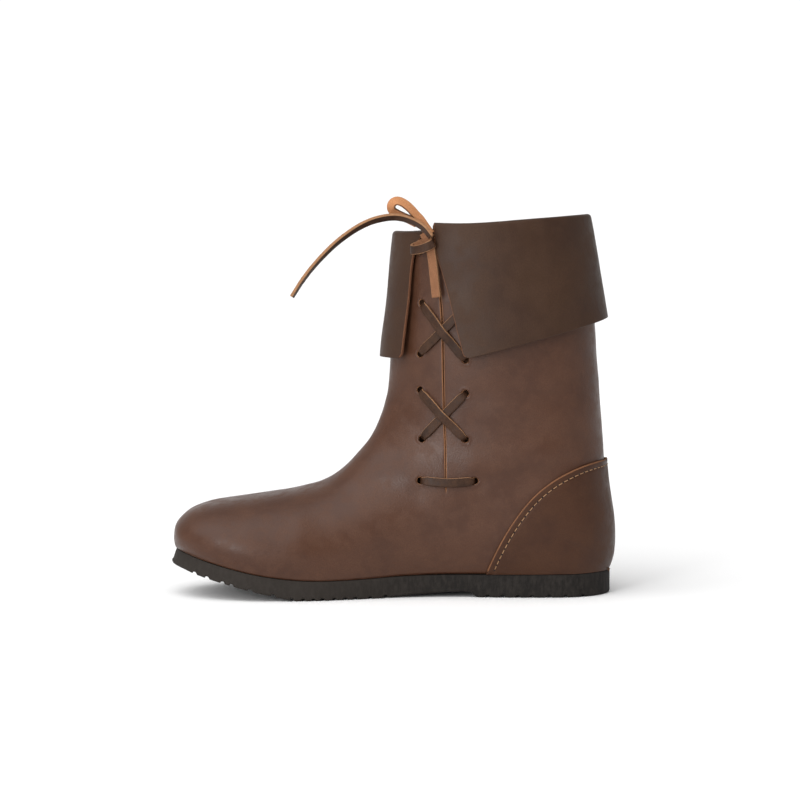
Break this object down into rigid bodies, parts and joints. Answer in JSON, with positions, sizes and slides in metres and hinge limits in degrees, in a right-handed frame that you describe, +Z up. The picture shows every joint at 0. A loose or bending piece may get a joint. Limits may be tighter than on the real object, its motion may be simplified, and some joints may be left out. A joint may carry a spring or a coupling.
{
  "type": "medieval riding boot",
  "caption": "Low brown leather boot with a turned-down cuff, side slit laced with a leather thong, stitched heel counter and ribbed rubber sole.",
  "frame": {"origin": "on the floor under the middle of the boot, measured without the lace's free runs", "axes": "+Z up, -X to the toe, -Y to the inner side of the foot, where the boot is laced"},
  "size_m": [0.2856, 0.1084, 0.2543],
  "materials": {
    "sole_rubber": "moulded dark brown rubber, matt",
    "insole_leather": "natural tan leather, smooth",
    "upper_leather": "oiled brown full-grain leather, soft sheen",
    "thong_leather": "brown leather thong with a tan flesh side and cut edges"
  },
  "bodies": {
    "root": {"outsole": "sole_rubber", "insole": "insole_leather", "upper": "upper_leather", "counter": "upper_leather", "cuff": "upper_leather", "lace_bar": "thong_leather", "lace_cross_low": "thong_leather", "lace_cross_high": "thong_leather", "lace_knot": "thong_leather", "lace_loop": "thong_leather", "lace_long_end": "thong_leather", "lace_short_end": "thong_leather"}
  },
  "joints": []
}
